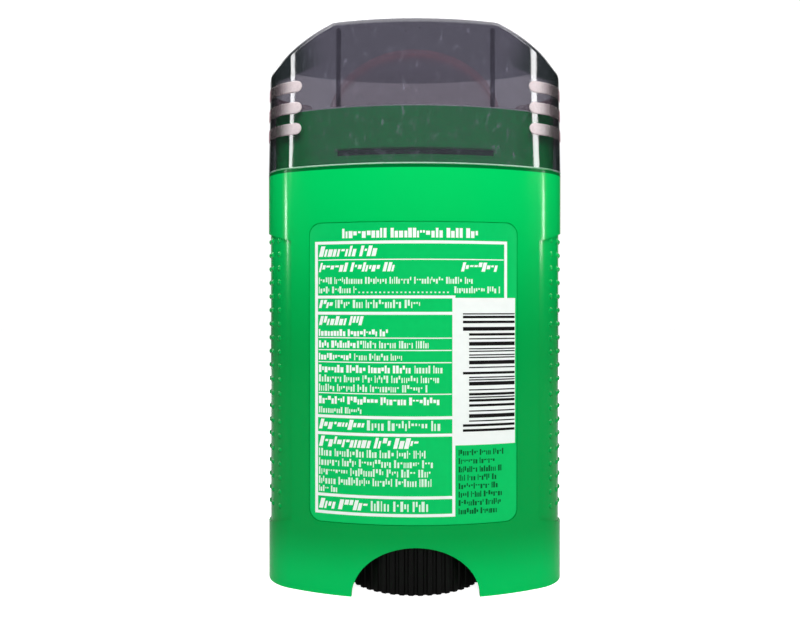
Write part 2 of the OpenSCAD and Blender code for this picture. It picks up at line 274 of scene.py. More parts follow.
@dataclass(frozen=True)
class Moulded:
    """Moulded plastic: slight drift of colour, polish that varies a little, and fine flow marks.

    Painted light: each ramp is a lighter colour that comes in from one height to another where more light falls, and
    each band is a painted highlight or painted shadow, a line of colour round the piece.
    """

    name: str
    light: Colour
    dark: Colour
    roughness: float = 0.22
    specular: float = 0.4
    ripple: float = 0.000004
    painted_light_ramps: tuple[tuple[Colour, float, float], ...] = ()
    painted_highlight_and_shadow_bands: tuple[tuple[float, float, Colour], ...] = ()
    drift_scale: float = 28.0
    polish_scale: float = 160.0
    polish_drift: float = 0.06
    ripple_scale: float = 90.0
    ripple_stretch: Triple = (1, 1, 0.4)

    def make(self) -> bpy.types.Material:
        """Build the material.

        Returns:
            The material.
        """
        s = Shader(self.name)
        drift = s.noise(self.drift_scale, 2.0)
        polish = s.noise(self.polish_scale, 3.0)
        wave = s.noise(self.ripple_scale, 1.0, self.ripple_stretch)
        colour = s.blend(drift, self.dark, self.light)
        # Painted light: blend in a lighter colour between two heights.
        for painted_glow_colour, start, full in self.painted_light_ramps:
            colour = s.blend(s.axis("Z").ramp(start, full), colour, painted_glow_colour)
        # Painted line round the piece at a height: a light tone paints a highlight, a dark tone a shadow.
        for middle, half, tone in self.painted_highlight_and_shadow_bands:
            colour = s.blend(abs(s.axis("Z") - middle).ramp(half / 2, half, 1.0, 0.0), colour, tone)
        return s.finish(s.principled(
            base_color=colour,
            roughness=polish * self.polish_drift + (self.roughness - self.polish_drift / 2),
            specular_ior_level=self.specular,
            normal=s.bump(wave, self.ripple),
        ))


@dataclass(frozen=True)
class ClearMoulded:
    # Paints light and shade as well: the far wall can pass more light below a height, and the haze is cut towards the
    # ends.
    """Tinted clear plastic: light goes through, more of it is lost at a low angle, and gloss lies on top."""

    name: str
    tint: Colour
    edge_tint: Colour
    lit_tint: Colour
    body: Colour
    body_share: float = 0.0
    edge_haze: float = 0.0
    turn_range: Span = (0.3, 0.72)
    ends: Span = (20.0, 27.0)
    # Painted shade: the share of the haze taken away at the ends.
    end_shade: float = 0.7
    gloss: float = 1.0
    shine: float = 1.55
    # Painted light: a paler tint that the far wall passes below a height.
    painted_light_tint: Colour | None = None
    painted_light_below: float = 0.0
    painted_light_edge: float = 0.2
    far_wall: Span = (-2.0, 2.0)
    roughness: float = 0.05
    haze_roughness: float = 0.6
    scuff: float = 0.03
    scuff_scale: float = 900.0
    scuff_stretch: Triple = (1.0, 1.0, 0.5)
    scuff_range: Span = (0.55, 0.8)
    plain_share: float = 0.5

    def passed(self, s: Shader, low_angle: Value) -> Value:
        """Build what is seen through the plastic.

        Args:
            s: The shader that it belongs to.
            low_angle: Grows from 0 to 1 as the surface turns away, round the ends.

        Returns:
            The see-through shader.
        """
        straight = s.through(self.tint)
        # Painted light: below a height, the far wall passes the paler tint, so more light comes through there.
        if self.painted_light_tint:
            low = s.axis("Z").ramp(self.painted_light_below - self.painted_light_edge, self.painted_light_below + self.painted_light_edge, 1.0, 0.0)
            straight = s.mix(low * s.axis("Y").ramp(*self.far_wall), straight, s.through(self.painted_light_tint))
        return s.mix(low_angle, straight, s.through(self.edge_tint))

    def make(self) -> bpy.types.Material:
        """Build the material.

        Returns:
            The material.
        """
        s = Shader(self.name)
        scuff = s.noise(self.scuff_scale, 4.0, self.scuff_stretch).ramp(*self.scuff_range)
        turned = s.node("ShaderNodeLayerWeight", None, {"Blend": 0.5}, "Facing")
        low_angle = turned.ramp(*self.turn_range)
        mirror = s.principled(
            base_color=(1.0, 1.0, 1.0), metallic=1.0, roughness=scuff * self.scuff + self.roughness)
        haze = s.principled(base_color=self.body, roughness=self.haze_roughness, specular_ior_level=0.0)
        end = abs(s.axis("X")).ramp(*self.ends)
        # Haze share with scuffs, cut towards the ends as painted shade.
        end_shaded_share = (scuff + self.plain_share) * self.body_share * (1 - end * self.end_shade)
        share = end_shaded_share + low_angle * self.edge_haze
        inside = s.node("ShaderNodeNewGeometry", out="Backfacing")
        gloss = s.node("ShaderNodeFresnel", None, {"IOR": self.shine}) * (1 - inside) * self.gloss
        seen = s.mix(gloss, s.mix(share, self.passed(s, low_angle * end), haze), mirror)
        shadow = s.node("ShaderNodeLightPath", out="Is Shadow Ray")
        return s.finish(s.mix(shadow, seen, s.through(self.lit_tint)))


@dataclass(frozen=True)
class PaleBand:
    # The fade towards the ends is painted shade; the cap's lip takes this finish as a painted highlight.
    """Frosted raised bars on tinted plastic: pale, soft, only partly see-through, and fading round the ends."""

    name: str
    # Frost colour of the bars; on the cap's lip it is a painted highlight.
    frost_and_highlight: Colour
    shade: Colour
    see_through: float
    painted_shade_fade: Triple = (25.5, 30.3, 0.97)
    roughness: float = 0.42
    grain_scale: float = 2600.0
    grain_depth: float = 0.00002
    grain_strength: float = 0.5
    grain_wear: float = 0.1

    def make(self) -> bpy.types.Material:
        """Build the material.

        Returns:
            The material.
        """
        s = Shader(self.name)
        grain = s.noise(self.grain_scale, 3.0)
        body = s.principled(
            base_color=s.blend(grain, self.shade, self.frost_and_highlight),
            roughness=self.roughness,
            normal=s.bump(grain, self.grain_depth, self.grain_strength),
        )
        start, end, most = self.painted_shade_fade
        # Painted shade: more of the band is seen through towards the ends.
        end_shaded_share = abs(s.axis("X")).ramp(start, end, self.see_through, most)
        return s.finish(s.mix(end_shaded_share - grain * self.grain_wear, body, s.through(self.shade)))


@dataclass(frozen=True)
class Ink:
    """Ink or bare film on a label: even colour with a slight drift, and a little gloss."""

    name: str
    light: Colour
    dark: Colour
    roughness: float = 0.3
    specular: float = 0.1
    speck_scale: float = 700.0
    speck_drift: float = 0.06
    wave_scale: float = 60.0
    wave_depth: float = 0.000006

    def make(self) -> bpy.types.Material:
        """Build the material.

        Returns:
            The material.
        """
        s = Shader(self.name)
        speck = s.noise(self.speck_scale, 3.0)
        return s.finish(s.principled(
            base_color=s.blend(speck, self.dark, self.light),
            roughness=speck * self.speck_drift + (self.roughness - self.speck_drift / 2),
            specular_ior_level=self.specular,
            normal=s.bump(s.noise(self.wave_scale, 1.0), self.wave_depth),
        ))


GREEN = Moulded("barrel_green", srgb(0, 160, 71), srgb(0, 152, 67), roughness=0.16, specular=0.08,
                # Painted light: lighter towards the top, from 48 to 92 mm, and towards the foot, from 14 down to 2 mm.
                painted_light_ramps=((srgb(0, 206, 98), 48.0, 92.0), (srgb(0, 194, 95), 14.0, 2.0)),
                # Painted highlight line round the neck's rim at 103 mm, and painted shadow line under the cap's foot at
                # 90 mm.
                painted_highlight_and_shadow_bands=((103.0, 0.32, srgb(250, 255, 252)), (90.0, 0.45, srgb(0, 104, 46))))
BLACK = Moulded("dial_black", srgb(9, 9, 8), srgb(4, 4, 4), roughness=0.36, specular=0.12)
NATURAL = Moulded("natural_plastic", srgb(236, 236, 228), srgb(224, 224, 214), roughness=0.4)
STICK = Moulded("stick_solid", srgb(230, 233, 227), srgb(221, 225, 218), roughness=0.5, ripple=0.00002)
# Smoke cap with painted light and shade: its far wall passes more light below 116 mm, and its haze is cut towards the
# ends.
SMOKE = ClearMoulded("cap_smoke", (0.252, 0.246, 0.282), (0.05, 0.08, 0.066), (0.97, 0.97, 0.98),
                     srgb(166, 164, 186), body_share=0.17, painted_light_tint=(0.6, 0.57, 0.6), painted_light_below=116.0)
INNER = ClearMoulded("cap_inner", (1.0, 1.0, 1.0), (0.9, 0.9, 0.9), (1.0, 1.0, 1.0), srgb(170, 164, 190), gloss=0.05)
RIB = ClearMoulded("cap_rib", (0.42, 0.4, 0.44), (0.3, 0.28, 0.32), (0.9, 0.9, 0.9), srgb(40, 40, 46),
                   body_share=0.1, gloss=0.05)
ROSE = ClearMoulded("seal_clear", (0.975, 0.965, 0.97), (0.9, 0.8, 0.81), (0.97, 0.95, 0.95), srgb(226, 156, 164),
                    body_share=0.012, edge_haze=0.4, turn_range=(0.35, 0.95), ends=(99.0, 100.0), gloss=0.1)
# Frosted bars, painted fading into shade towards the ends.
BAR = PaleBand("bar_frost", srgb(250, 236, 238), srgb(220, 203, 207), see_through=0.2)
# Painted highlight along the cap's foot and lip, fading towards the ends.
LIP_HIGHLIGHT = PaleBand("lip_painted_highlight", srgb(228, 250, 238), srgb(202, 234, 218), see_through=0.3, painted_shade_fade=(24.0, 30.0, 0.8))
FILM = Ink("label_film", srgb(2, 200, 102), srgb(1, 191, 96))
WHITE = Ink("print_white", srgb(246, 250, 247), srgb(238, 244, 240))
PALE = Ink("print_pale", srgb(222, 244, 230), srgb(214, 240, 224))
DARK = Ink("print_dark", srgb(0, 92, 44), srgb(0, 84, 40))
BLACK_INK = Ink("print_black", srgb(24, 22, 22), srgb(18, 16, 16))


@dataclass
class OvalSection:
    """The four-arc section that the barrel, cap and labels share, in millimetres."""

    face_r: float = 58.0
    half_w: float = field(default_factory=lambda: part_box("barrel")[1].x / MM)
    half_d: float = field(default_factory=lambda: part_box("barrel")[1].y / MM)

    @property
    def face_c(self) -> float:
        """Distance of a face arc's centre from the middle."""
        return self.face_r - self.half_d

    @property
    def end_r(self) -> float:
        """Radius of an end arc."""
        return (self.face_r ** 2 - self.face_c ** 2 - self.half_w ** 2) / (2 * (self.face_r - self.half_w))

    @property
    def meet(self) -> float:
        """Turn from the side at which an end arc meets a face arc, in radians."""
        return math.atan2(self.face_c, self.half_w - self.end_r)

    def spot(self, turn: float, inset: float) -> tuple[float, float, float, float]:
        """A point on the near half of the outline.

        Args:
            turn: Angle of the outward normal from the right-hand side, 0 to pi.
            inset: Depth below the barrel's outside.

        Returns:
            The point's two coordinates and its outward normal.
        """
        nx, ny = math.cos(turn), -math.sin(turn)
        if self.meet < turn < math.pi - self.meet:
            cx, cy, r = 0.0, self.face_c, self.face_r
        else:
            cx, cy, r = math.copysign(self.half_w - self.end_r, nx), 0.0, self.end_r
        return cx + (r - inset) * nx, cy + (r - inset) * ny, nx, ny

    def turns(self, end_steps: int, face_steps: int) -> list[float]:
        """Turns of the points along the near half, from right to left.

        Args:
            end_steps: Steps along an end arc.
            face_steps: Steps along the face arc.

        Returns:
            The turns, in radians.
        """
        ends = [self.meet * i / end_steps for i in range(end_steps)]
        faces = [self.meet + (math.pi - 2 * self.meet) * i / face_steps for i in range(face_steps + 1)]
        return ends + faces + [math.pi - turn for turn in reversed(ends)]

    def face_y(self, x: float, inset: float) -> float:
        """Distance of a broad face from the middle plane.

        Args:
            x: Distance to the side.
            inset: Depth below the barrel's face.

        Returns:
            The distance, in millimetres.
        """
        return math.sqrt((self.face_r - inset) ** 2 - x * x) - self.face_c


class Weight(Enum):
    """Weights of the greeked print: widths of its marks and gaps, as shares of the line's size."""

    THIN = (0.12, 0.3, 0.15)
    BOLD = (0.2, 0.42, 0.12)
    SMALL = (0.14, 0.34, 0.14)


@dataclass
class PrintSheet:
    """Print of one ink on a label: thin closed slabs that follow the label's face."""

    name: str
    section: OvalSection
    base_inset: float
    rise: float = 0.02
    sink: float = 0.01
    step: float = 2.5
    slabs: list[list[Span]] = field(default_factory=list)

    def bar(self, x0: float, x1: float, z0: float, z1: float, slant: float = 0.0) -> None:
        """Add an upright or slanted bar.

        Args:
            x0: Left edge.
            x1: Right edge.
            z0: Lower edge.
            z1: Upper edge.
            slant: How far the upper edge leans to the right.
        """
        count = max(1, math.ceil((x1 - x0) / self.step))
        xs = [x0 + (x1 - x0) * i / count for i in range(count + 1)]
        self.slabs.append([(x, z0) for x in xs] + [(x + slant, z1) for x in reversed(xs)])

    def on_face(self, x: float, z: float, inset: float) -> Triple:
        """A point at a depth below the face, in metres."""
        return x * MM, -self.section.face_y(x, inset) * MM, z * MM

    def build(self, ink: Ink) -> bpy.types.Object:
        """Make the piece.

        Args:
            ink: Its finish.

        Returns:
            The new object.
        """
        bm = bmesh.new()
        for outline in self.slabs:
            low, high = ([bm.verts.new(self.on_face(x, z, inset)) for x, z in outline]
                         for inset in (self.base_inset + self.sink, self.base_inset - self.rise))
            count = len(outline)
            for i in range(count):
                j = (i + 1) % count
                bm.faces.new((low[i], low[j], high[j], high[i]))
            for i in range(count // 2 - 1):
                quad = (i, i + 1, count - 2 - i, count - 1 - i)
                bm.faces.new([high[k] for k in quad])
                bm.faces.new([low[k] for k in reversed(quad)])
        bmesh.ops.recalc_face_normals(bm, faces=bm.faces)
        mesh = bpy.data.meshes.new(self.name)
        bm.to_mesh(mesh)
        bm.free()
        mesh.materials.append(ink.make())
        piece = placed(self.name, mesh)
        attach(piece, "barrel")
        return piece


@dataclass(frozen=True)
class Run:
    """A run of blocks in a line of greeked print."""

    weight: Weight
    width: float
    slant: float = 0.0


@dataclass(frozen=True)
class Line:
    """A line of greeked print: height of its foot, height of its tall blocks, and its runs."""

    foot: float
    size: float
    runs: tuple[Run, ...]


def thin(width: float) -> Run:
    """A run of plain print."""
    return Run(Weight.THIN, width)


def bold(width: float) -> Run:
    """A run of bold print."""
    return Run(Weight.BOLD, width)


def title(width: float) -> Run:
    """A run of slanted bold print."""
    return Run(Weight.BOLD, width, slant=0.25)


@dataclass
class BackPrint:
    """What the back label carries: a ruled panel of greeked lines, and a white field with plain bars."""

    section: OvalSection
    left: float = -21.3
    right_high: float = 19.3
    right_low: float = 8.2
    top: float = 74.5
    step_z: float = 62.6
    foot: float = 17.1
    frame_t: float = 0.62
    margin: float = 0.75
    indent: float = 0.2
    header: Edges = (-15.4, 13.4, 75.1, 77.1)
    heavy_rules: tuple[float, ...] = (62.8, 59.4, 37.7, 34.1, 21.1)
    light_rules: tuple[float, ...] = (54.15, 51.6, 49.05, 42.5)
    title_rule: float = 70.5
    rule_t: float = 0.2
    lines: tuple[Line, ...] = (
        Line(71.3, 2.2, (title(12.1),)),
        Line(68.1, 1.9, (title(16.3),)),
        Line(65.55, 1.4, (thin(32.8),)),
        Line(63.6, 1.4, (thin(8.4),)),
        Line(60.5, 1.7, (title(3.6), thin(18.2))),
        Line(56.9, 1.9, (title(9.3),)),
        Line(54.6, 1.45, (bold(15.1),)),
        Line(52.15, 1.5, (bold(8.2), thin(15.3))),
        Line(49.6, 1.4, (bold(7.6), thin(10.3))),
        Line(46.95, 1.6, (bold(20.2), thin(5.8))),
        Line(44.95, 1.5, (thin(25.6),)),
        Line(43.0, 1.5, (thin(23.2),)),
        Line(40.35, 1.6, (bold(25.4),)),
        Line(38.4, 1.3, (thin(9.5),)),
        Line(35.0, 2.1, (title(10.3), thin(15.9))),
        Line(31.3, 2.2, (title(21.0),)),
        Line(29.3, 1.6, (thin(22.5),)),
        Line(27.3, 1.6, (thin(24.0),)),
        Line(25.35, 1.6, (thin(23.8),)),
        Line(23.4, 1.6, (thin(23.8),)),
        Line(21.75, 1.3, (thin(4.4),)),
        Line(18.2, 2.1, (title(11.1), thin(12.0))),
    )
    asides: tuple[tuple[float, Line], ...] = (
        (9.4, Line(68.1, 1.9, (title(8.2),))),
        (8.0, Line(63.6, 1.4, (thin(10.0),))),
    )
    dot_count: int = 22
    dot_left: float = -12.0
    dot_pitch: float = 0.88
    dot_w: float = 0.35
    dot_z: Span = (63.6, 63.9)
    word_marks: tuple[int, int] = (4, 13)
    word_gap: float = 0.28
    mark_tops: tuple[float, ...] = (0.7, 0.7, 0.74, 1.0)
    mark_starts: tuple[float, ...] = (0.0, 0.0, 0.0, 0.28, 0.5)
    gap_drift: Span = (0.7, 1.2)
    code_field: Edges = (7.6, 21.1, 31.9, 62.6)
    code_bars: Edges = (11.1, 21.0, 34.6, 59.4)
    code_inks: tuple[int, ...] = (1, 1, 2, 3)
    code_gaps: tuple[int, ...] = (1, 1, 2, 2, 3)
    module: float = 0.26
    guard_left: float = 9.8
    guard_count: int = 4
    guard_modules: int = 8
    guard_middle: float = 0.8
    small_field: Edges = (8.9, 19.0, 17.2, 31.2)
    small_lines: int = 8
    small_size: float = 1.25
    small_rise: float = 0.3
    small_widths: Span = (0.8, 1.0)
    seed: int = 7

    def words(self, sheet: PrintSheet, x: float, foot: float, size: float, run: Run, dice: random.Random) -> None:
        """Set one run as words of small blocks, some of them tall.

        Args:
            sheet: The sheet that takes it.
            x: Where it starts.
            foot: Height of its foot.
            size: Height of a tall block.
            run: The run.
            dice: The seeded random source.
        """
        low, high, gap = (share * size for share in run.weight.value)
        end, lean = x + run.width, run.slant * size
        while x + high <= end:
            for mark in range(dice.randint(*self.word_marks)):
                fill = dice.uniform(low, high)
                if x + fill > end:
                    break
                top = dice.choice(self.mark_tops) if mark else 1.0
                start = dice.choice(self.mark_starts) if mark else 0.0
                left = x + lean * start
                sheet.bar(left, left + fill, foot + start * size, foot + top * size, lean * (top - start))
                x += fill + gap * dice.uniform(*self.gap_drift)
            x += size * self.word_gap

    def set_line(self, sheets: dict[Weight, PrintSheet], x: float, line: Line, dice: random.Random) -> None:
        """Set a line's runs, one after another.

        Args:
            sheets: The sheet that takes each weight of print.
            x: Where the line starts.
            line: The line.
            dice: The seeded random source.
        """
        for run in line.runs:
            self.words(sheets[run.weight], x, line.foot, line.size, run, dice)
            x += run.width

    def frame(self, white: PrintSheet) -> None:
        """Draw the ruled frame, which is wider above the white field.

        Args:
            white: The sheet that takes it.
        """
        t = self.frame_t
        white.bar(self.left, self.right_high, self.top - t, self.top)
        white.bar(self.left, self.left + t, self.foot, self.top)
        white.bar(self.right_high - t, self.right_high, self.step_z, self.top)
        white.bar(self.right_low - t, self.right_low, self.foot, self.step_z)
        white.bar(self.left, self.right_low, self.foot, self.foot + t)
        for z in self.heavy_rules:
            white.bar(self.left, self.right_low, z - t / 2, z + t / 2)
        rules = [(self.right_low, z) for z in self.light_rules] + [(self.right_high, self.title_rule)]
        for right, z in rules:
            white.bar(self.left + self.margin, right - self.margin, z, z + self.rule_t)

    def text(self, white: PrintSheet, pale: PrintSheet, dice: random.Random) -> None:
        """Set every line of the panel, the header above it and the row of dots.

        Args:
            white: The sheet that takes the bold print.
            pale: The sheet that takes the plain print.
            dice: The seeded random source.
        """
        sheets = {Weight.BOLD: white, Weight.THIN: pale}
        for line in self.lines:
            self.set_line(sheets, self.left + self.frame_t + self.indent, line, dice)
        x0, x1, z0, z1 = self.header
        self.words(white, x0, z0, z1 - z0, bold(x1 - x0), dice)
        for x, line in self.asides:
            self.set_line(sheets, x, line, dice)
        for i in range(self.dot_count):
            x = self.dot_left + i * self.dot_pitch
            pale.bar(x, x + self.dot_w, *self.dot_z)

    def code(self, white: PrintSheet, black: PrintSheet, dice: random.Random) -> None:
        """Draw the white field and its plain bars, which carry no digits and no code.

        Args:
            white: The sheet that takes the field.
            black: The sheet that takes the bars.
            dice: The seeded random source.
        """
        white.bar(*self.code_field)
        left, right, low, high = self.code_bars
        z, count = high, 0
        while z > low + self.module:
            ink, gap = dice.choice(self.code_inks), dice.choice(self.code_gaps)
            guard = (count < self.guard_count or z < low + self.guard_modules * self.module
                     or abs(z - (low + high) / 2) < self.guard_middle)
            black.bar(self.guard_left if guard else left, right, z - ink * self.module, z)
            z -= (ink + gap) * self.module
            count += 1

    def small(self, dark: PrintSheet, dice: random.Random) -> None:
        """Set the small print below the white field.

        Args:
            dark: The sheet that takes it.
            dice: The seeded random source.
        """
        x0, x1, z0, z1 = self.small_field
        pitch = (z1 - z0) / self.small_lines
        for i in range(self.small_lines):
            width = (x1 - x0) * dice.uniform(*self.small_widths)
            foot = z1 - (i + 1) * pitch + self.small_rise
            self.words(dark, x0, foot, self.small_size, Run(Weight.SMALL, width), dice)

    def build(self) -> list[bpy.types.Object]:
        """Make the four sheets of ink.

        Returns:
            The new objects.
        """
        dice = random.Random(self.seed)
        inset = (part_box("label_back")[0].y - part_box("barrel")[0].y) / MM
        white = PrintSheet("back_print_white", self.section, inset)
        pale = PrintSheet("back_print_pale", self.section, inset)
        dark = PrintSheet("back_print_dark", self.section, inset)
        black = PrintSheet("back_print_black", self.section, inset - white.rise)
        self.frame(white)
        self.text(white, pale, dice)
        self.code(white, black, dice)
        self.small(dark, dice)
        inks = ((white, WHITE), (pale, PALE), (dark, DARK), (black, BLACK_INK))
        return [sheet.build(ink) for sheet, ink in inks]


def dress(node: bpy.types.Object, material: bpy.types.Material) -> None:
    """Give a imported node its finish.

    Args:
        node: The node's object.
        material: Its finish.
    """
    node.data.materials.clear()
    node.data.materials.append(material)


@dataclass
class Barrel:
    """The green body with its labels."""

    nodes: dict[str, bpy.types.Object]
    section: OvalSection

    def build(self) -> list[bpy.types.Object]:
        """Dress the body and its films, and print the back one.

        Returns:
            The pieces.
        """
        film = FILM.make()
        dress(self.nodes["barrel"], GREEN.make())
        dress(self.nodes["label_back"], film)
        dress(self.nodes["label_front"], film)
        return [self.nodes["barrel"], self.nodes["label_back"], self.nodes["label_front"],
                *BackPrint(self.section).build()]


def new_piece(name: str, bm: bmesh.types.BMesh, materials: Sequence[bpy.types.Material], body: str) -> bpy.types.Object:
    """Turn mesh data into a smooth piece that rides on a body.

    Args:
        name: The piece's name.
        bm: Its mesh data, which is freed.
        materials: Its finishes, in the order of its faces' indices.
        body: The body that it moves with.

    Returns:
        The new object.
    """
    bmesh.ops.remove_doubles(bm, verts=bm.verts, dist=WELD)
    bmesh.ops.dissolve_degenerate(bm, edges=bm.edges, dist=WELD)
    bmesh.ops.recalc_face_normals(bm, faces=bm.faces)
    mesh = bpy.data.meshes.new(name)
    bm.to_mesh(mesh)
    bm.free()
    mesh.shade_smooth()
    for material in materials:
        mesh.materials.append(material)
    piece = placed(name, mesh)
    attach(piece, body)
    return piece


def skin(bm: bmesh.types.BMesh, columns: list[list[Vector]], closed: bool = False, finish: int = 0) -> None:
    """Join columns of points with four-sided faces.

    Args:
        bm: The mesh data that takes them.
        columns: Columns of equally many points, in metres.
        closed: Joins each column's last point to its first as well.
        finish: Index of the faces' finish.
    """
    made = [[bm.verts.new(p) for p in column] for column in columns]
    count = len(columns[0])
    for a, b in zip(made, made[1:]):
        for i in range(count if closed else count - 1):
            j = (i + 1) % count
            bm.faces.new((a[i], b[i], b[j], a[j])).material_index = finish


@dataclass
class CapShell:
    """The cap's wall: an oval that drafts inwards, cut by a flat and two slopes, with every edge rounded."""

    section: OvalSection
    foot: float = field(default_factory=lambda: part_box("cap")[0].z / MM)
    top: float = field(default_factory=lambda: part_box("cap")[1].z / MM)
    wall: float = 1.2
    flat_half: float = 17.85
    slope: float = math.radians(30.6)
    bow: float = 0.85
    draft: float = 0.4
    draft_speed: float = 1.6
    lean: float = 0.5
    side_r: float = 1.0
    flat_r: float = 2.4
    edge_r: float = 1.7
    end_edge: float = 0.35
    edge_growth: float = 1.2
    inner_edge_r: float = 0.9
    lip_r: float = 0.22
    lip_bends: tuple[Span, ...] = ((0.0, 1.0), (0.7, 0.7))
    lip_points: int = 3
    levels: int = 10
    edge_steps: int = 7
    top_steps: int = 5
    end_steps: int = 22
    face_steps: int = 110
    support: float = 0.06
    slab_r: float = 0.3

    def roof(self, x: float, inset: float) -> float:
        """Height of the flat, a slope or the rounding between them.

        Args:
            x: Distance from the middle.
            inset: Depth below the outer surface.

        Returns:
            The height.
        """
        side = self.section.half_w - self.draft - inset
        x = min(abs(x), side)
        top = self.top - inset
        tan, r_top, r_side = math.tan(self.slope), self.flat_r, self.side_r - inset
        flat_end = self.flat_half - inset * math.tan(self.slope / 2) - r_top * math.tan(self.slope / 2)
        slope_start = flat_end + r_top * math.sin(self.slope)
        slope_top = top - r_top * (1 - math.cos(self.slope))
        centre = side - r_side
        if x <= flat_end:
            return top
        if x <= slope_start:
            return top - r_top + math.sqrt(r_top ** 2 - (x - flat_end) ** 2)
        slope_end = centre + r_side * math.sin(self.slope)
        if x <= slope_end:
            along = (x - slope_start) / (slope_end - slope_start)
            return slope_top - (x - slope_start) * tan + 4 * self.bow * along * (1 - along)
        low = slope_top - (centre - slope_start) * tan - r_side / math.cos(self.slope)
        return low + math.sqrt(max(0.0, r_side ** 2 - (x - centre) ** 2))

    def drawn_in(self, x: float, y: float, z: float) -> Vector:
        """Draft a point of the straight oval, and turn it into metres.

        Args:
            x: Its distance from the middle.
            y: Its distance from the middle plane.
            z: Its height.

        Returns:
            The drafted point.
        """
        rise = (z - self.foot) / (self.top - self.foot)
        side = self.draft / self.section.half_w * min(1.0, rise * self.draft_speed)
        return Vector((x * (1 - side), y * (1 - self.lean / self.section.half_d * rise), z)) * MM

    def column(self, turn: float, inset: float, edge_r: float) -> list[Vector]:
        """Points from the foot up the wall, over the edge and across the top to the middle plane.

        Args:
            turn: Place along the outline.
            inset: Depth below the outer surface.
            edge_r: Radius of the edge on the faces, which is smaller round the ends.

        Returns:
            The points, in metres.
        """
        x, y, nx, ny = self.section.spot(turn, inset)
        edge_r *= self.end_edge + (1 - self.end_edge) * min(1.0, self.edge_growth * math.sin(turn))
        wall_top = self.roof(x, inset) - edge_r
        lip = self.lip_r if inset == 0 else 0.0
        points = [self.drawn_in(x - nx * lip * (1 - c), y - ny * lip * (1 - c), self.foot + lip * (1 - s))
                  for c, s in self.lip_bends]
        low, high = self.foot + lip + self.support, wall_top - self.support
        heights = [self.foot + lip, *(low + (high - low) * i / self.levels for i in range(self.levels + 1)), wall_top]
        points += [self.drawn_in(x, y, z) for z in heights]
        for i in range(1, self.edge_steps + 1):
            bend = math.pi / 2 * i / self.edge_steps
            px = x - nx * edge_r * (1 - math.cos(bend))
            py = y - ny * edge_r * (1 - math.cos(bend))
            points.append(self.drawn_in(px, py, self.roof(px, inset) - edge_r * (1 - math.sin(bend))))
        edge = points[-1]
        near = max(0.0, 1 - self.support * MM / max(abs(edge.y), MM * self.support))
        points += [Vector((edge.x, edge.y * near * (1 - i / self.top_steps), edge.z))
                   for i in range(self.top_steps + 1)]
        return points

    def build(self, materials: Sequence[bpy.types.Material]) -> bpy.types.Object:
        """Make the shell, inside and outside.

        Args:
            materials: The finishes of its outside, its inside and its lip; the lip's finish is a painted highlight.

        Returns:
            The new object.
        """
        bm = bmesh.new()
        turns = self.section.turns(self.end_steps, self.face_steps)
        flip = Vector((1, -1, 1))
        outer = [self.column(turn, 0.0, self.edge_r) for turn in turns]
        inner = [self.column(turn, self.wall, self.inner_edge_r) for turn in turns]
        foot = [[a[0], b[0]] for a, b in zip(outer, inner)]
        lip = [column[:self.lip_points + 1] for column in outer]
        wall = [column[self.lip_points:] for column in outer]
        for finish, columns in ((0, wall), (1, inner), (2, foot), (2, lip)):
            skin(bm, columns, finish=finish)
            skin(bm, [[p * flip for p in column] for column in columns], finish=finish)
        return new_piece("cap_shell", bm, materials, "cap")

    def slab(self, bm: bmesh.types.BMesh, turns: Sequence[float], insets: Span,
             heights: Callable[[int], Span]) -> None:
        """Add a closed band that follows the wall.

        Args:
            bm: The mesh data that takes it.
            turns: Places along the outline; past pi or below 0 they run on along the far half.
            insets: Its outer and inner depth.
            heights: Gives the lower and upper edge at each place.
        """
        columns = []
        for i, turn in enumerate(turns):
            low, high = heights(i)
            ring = []
            soft, bevel = min(self.slab_r, (high - low) / 3), insets[0] + self.support
            for inset, z in ((insets[1], low), (bevel, low), (insets[0], low + soft),
                             (insets[0], high - soft), (bevel, high), (insets[1], high)):
                x, y, _, _ = self.section.spot(abs(turn), inset)
                ring.append(self.drawn_in(x, math.copysign(y, -turn if turn else -1.0), z))
            columns.append(ring)
        skin(bm, columns, closed=True)
        for column in (columns[0], columns[-1]):
            bm.faces.new([bm.verts.new(p) for p in column])


